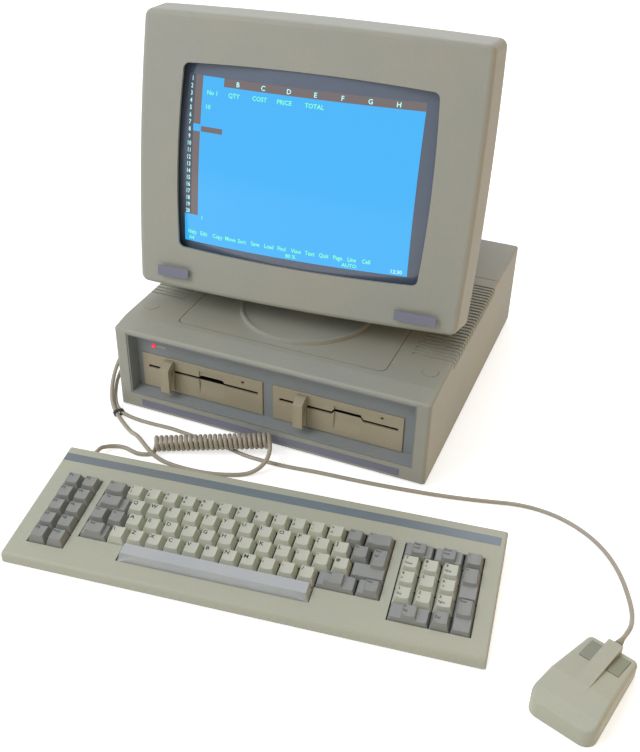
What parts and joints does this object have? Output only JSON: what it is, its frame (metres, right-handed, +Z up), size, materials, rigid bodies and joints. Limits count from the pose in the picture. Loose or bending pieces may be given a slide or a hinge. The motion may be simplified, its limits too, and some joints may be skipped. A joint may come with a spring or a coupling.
{
  "type": "home computer",
  "caption": "Vintage home computer: flat system unit with two disk drives, tilting colour monitor, keyboard on a curly cord and a mouse.",
  "frame": {"origin": "middle of the base of the box round the unit, monitor, keyboard and mouse, cords left out, on the desk", "axes": "+Z up, -Y towards the sitter, +X to the sitter's right; the unit stands square to the axes"},
  "size_m": [0.6402, 0.7239, 0.434],
  "materials": {
    "case_plastic": "light warm grey moulded plastic with a fine texture",
    "fascia_plastic": "cream grey moulded plastic",
    "panel_plastic": "dark blue grey moulded plastic",
    "foot_plastic": "light grey moulded plastic",
    "light_keys": "pale ivory key plastic",
    "dark_keys": "mid grey key plastic",
    "button_plastic": "grey plastic",
    "lamp_plastic": "clear red lens",
    "board": "green solder mask",
    "socket_plastic": "black plastic",
    "tray_steel": "zinc plated steel sheet",
    "chassis_metal": "cast and machined aluminium",
    "bright_steel": "bright turned steel",
    "tube_glass": "dark coated glass",
    "winding": "copper winding in a plastic former",
    "speaker_paper": "black paper cone and steel frame",
    "cell_jacket": "printed cell jacket",
    "rubber": "black rubber",
    "ball_rubber": "grey rubber over steel",
    "cord_vinyl": "grey beige flexible vinyl",
    "tie_plastic": "black plastic strip"
  },
  "bodies": {
    "system_unit": {"top_cover": "case_plastic", "battery_cover": "case_plastic", "battery_cells": "cell_jacket", "screw_caps": "case_plastic", "case_screws": "bright_steel", "base_tray": "tray_steel", "motherboard": "board", "slot_covers": "tray_steel", "connector_sockets": "socket_plastic", "speaker": "speaker_paper", "front_panel": "panel_plastic", "indicator_lamps": "lamp_plastic", "left_drive_fascia": "fascia_plastic", "left_drive_frame": "chassis_metal", "right_drive_fascia": "fascia_plastic", "right_drive_frame": "chassis_metal", "keyboard_board": "socket_plastic", "keyboard_top": "case_plastic", "keyboard_base": "panel_plastic", "mouse_top": "case_plastic", "mouse_base": "panel_plastic", "ball_ring": "panel_plastic", "rubber_feet": "rubber", "keyboard_coil": "cord_vinyl", "keyboard_lead": "cord_vinyl", "keyboard_tail": "cord_vinyl", "mouse_cord": "cord_vinyl", "strain_reliefs": "cord_vinyl", "keyboard_plug": "socket_plastic", "mouse_plug": "cord_vinyl", "cord_tie": "tie_plastic"},
    "volume_control": {"volume_wheel": "panel_plastic"},
    "left_lever": {"left_drive_lever": "fascia_plastic"},
    "left_spindle": {"left_drive_spindle": "bright_steel"},
    "left_head": {"left_head_carriage": "chassis_metal"},
    "right_lever": {"right_drive_lever": "fascia_plastic"},
    "right_spindle": {"right_drive_spindle": "bright_steel"},
    "right_head": {"right_head_carriage": "chassis_metal"},
    "monitor": {"monitor_bezel": "case_plastic", "monitor_rear_case": "case_plastic", "picture_tube": "tube_glass", "deflection_yoke": "winding", "monitor_boards": "board", "cable_glands": "socket_plastic"},
    "power_switch": {"power_button": "button_plastic"},
    "brightness_control": {"brightness_wheel": "panel_plastic"},
    "swivel_foot": {"monitor_foot": "foot_plastic"},
    "function_key_set": {"function_keys": "dark_keys"},
    "digit_row_key_set": {"digit_row_keys": "light_keys"},
    "upper_row_key_set": {"upper_row_keys": "light_keys"},
    "home_row_key_set": {"home_row_keys": "light_keys"},
    "lower_row_key_set": {"lower_row_keys": "light_keys"},
    "space_key": {"space_bar": "light_keys"},
    "control_key_set": {"control_keys": "dark_keys"},
    "pad_digit_key_set": {"pad_digit_keys": "light_keys"},
    "folding_legs": {"keyboard_legs": "panel_plastic"},
    "left_click": {"mouse_left_button": "button_plastic"},
    "right_click": {"mouse_right_button": "button_plastic"},
    "rolling_ball": {"mouse_ball": "ball_rubber"},
    "sensing_roller": {"mouse_roller": "bright_steel"}
  },
  "joints": [
    {"name": "monitor_swivel", "type": "hinge", "parent": "system_unit", "child": "swivel_foot", "pos_m": [-0.11937, 0.02586, 0.11115], "axis": [0, 0, 1], "range_deg": [-34.48, 25.52]},
    {"name": "monitor_tilt", "type": "hinge", "parent": "swivel_foot", "child": "monitor", "pos_m": [-0.12094, 0.0458, 0.1585], "axis": [0.9969, 0.0781, 0], "range_deg": [-3.3, 10]},
    {"name": "brightness_turn", "type": "hinge", "parent": "monitor", "child": "brightness_control", "pos_m": [0.03612, 0.10592, 0.18355], "axis": [-0.0158, 0.2022, 0.9792], "range_deg": [-135, 135]},
    {"name": "power_press", "type": "slide", "parent": "monitor", "child": "power_switch", "axis": [-0.9969, -0.0781, 0], "range_m": [0, 0.003], "stiffness_N_per_m": 300},
    {"name": "volume_turn", "type": "hinge", "parent": "system_unit", "child": "volume_control", "pos_m": [-0.29637, -0.01414, 0.054], "axis": [0, 0, 1], "range_deg": [-135, 135]},
    {"name": "left_lever_turn", "type": "hinge", "parent": "system_unit", "child": "left_lever", "pos_m": [-0.24387, -0.08064, 0.065], "axis": [0, 1, 0], "range_deg": [0, 90]},
    {"name": "left_spindle_turn", "type": "hinge", "parent": "system_unit", "child": "left_spindle", "pos_m": [-0.20387, -0.00864, 0.0565], "axis": [0, 0, 1], "continuous": true},
    {"name": "left_head_slide", "type": "slide", "parent": "system_unit", "child": "left_head", "axis": [0, -1, 0], "range_m": [0, 0.0206]},
    {"name": "right_lever_turn", "type": "hinge", "parent": "system_unit", "child": "right_lever", "pos_m": [-0.08027, -0.08064, 0.065], "axis": [0, 1, 0], "range_deg": [0, 90]},
    {"name": "right_spindle_turn", "type": "hinge", "parent": "system_unit", "child": "right_spindle", "pos_m": [-0.04027, -0.00864, 0.0565], "axis": [0, 0, 1], "continuous": true},
    {"name": "right_head_slide", "type": "slide", "parent": "system_unit", "child": "right_head", "axis": [0, -1, 0], "range_m": [0, 0.0206]},
    {"name": "function_press", "type": "slide", "parent": "system_unit", "child": "function_key_set", "axis": [-0.0116, 0.0912, -0.9958], "range_m": [0, 0.0033], "stiffness_N_per_m": 250},
    {"name": "digit_row_press", "type": "slide", "parent": "system_unit", "child": "digit_row_key_set", "axis": [-0.0116, 0.0912, -0.9958], "range_m": [0, 0.0033], "stiffness_N_per_m": 250},
    {"name": "upper_row_press", "type": "slide", "parent": "system_unit", "child": "upper_row_key_set", "axis": [-0.0116, 0.0912, -0.9958], "range_m": [0, 0.0033], "stiffness_N_per_m": 250},
    {"name": "home_row_press", "type": "slide", "parent": "system_unit", "child": "home_row_key_set", "axis": [-0.0116, 0.0912, -0.9958], "range_m": [0, 0.0033], "stiffness_N_per_m": 250},
    {"name": "lower_row_press", "type": "slide", "parent": "system_unit", "child": "lower_row_key_set", "axis": [-0.0116, 0.0912, -0.9958], "range_m": [0, 0.0033], "stiffness_N_per_m": 250},
    {"name": "space_bar_press", "type": "slide", "parent": "system_unit", "child": "space_key", "axis": [-0.0116, 0.0912, -0.9958], "range_m": [0, 0.0033], "stiffness_N_per_m": 250},
    {"name": "control_press", "type": "slide", "parent": "system_unit", "child": "control_key_set", "axis": [-0.0116, 0.0912, -0.9958], "range_m": [0, 0.0033], "stiffness_N_per_m": 250},
    {"name": "pad_digit_press", "type": "slide", "parent": "system_unit", "child": "pad_digit_key_set", "axis": [-0.0116, 0.0912, -0.9958], "range_m": [0, 0.0033], "stiffness_N_per_m": 250},
    {"name": "keyboard_legs_fold", "type": "hinge", "parent": "system_unit", "child": "folding_legs", "pos_m": [-0.24887, -0.21602, 0.0036], "axis": [0.992, 0.126, 0], "range_deg": [0, 85]},
    {"name": "mouse_left_press", "type": "slide", "parent": "system_unit", "child": "left_click", "axis": [0, 0, -1], "range_m": [0, 0.0008], "stiffness_N_per_m": 400},
    {"name": "mouse_right_press", "type": "slide", "parent": "system_unit", "child": "right_click", "axis": [0, 0, -1], "range_m": [0, 0.0008], "stiffness_N_per_m": 400},
    {"name": "mouse_ball_roll", "type": "hinge", "parent": "system_unit", "child": "rolling_ball", "pos_m": [0.27015, -0.29864, 0.011], "axis": [0.95, -0.3123, 0], "continuous": true},
    {"name": "mouse_roller_turn", "type": "hinge", "parent": "system_unit", "child": "sensing_roller", "pos_m": [0.26603, -0.31118, 0.011], "axis": [0.95, -0.3123, 0], "continuous": true}
  ],
  "couplings": [
    {"joint": "mouse_roller_turn", "follows": "mouse_ball_roll", "ratio": -5.5}
  ]
}
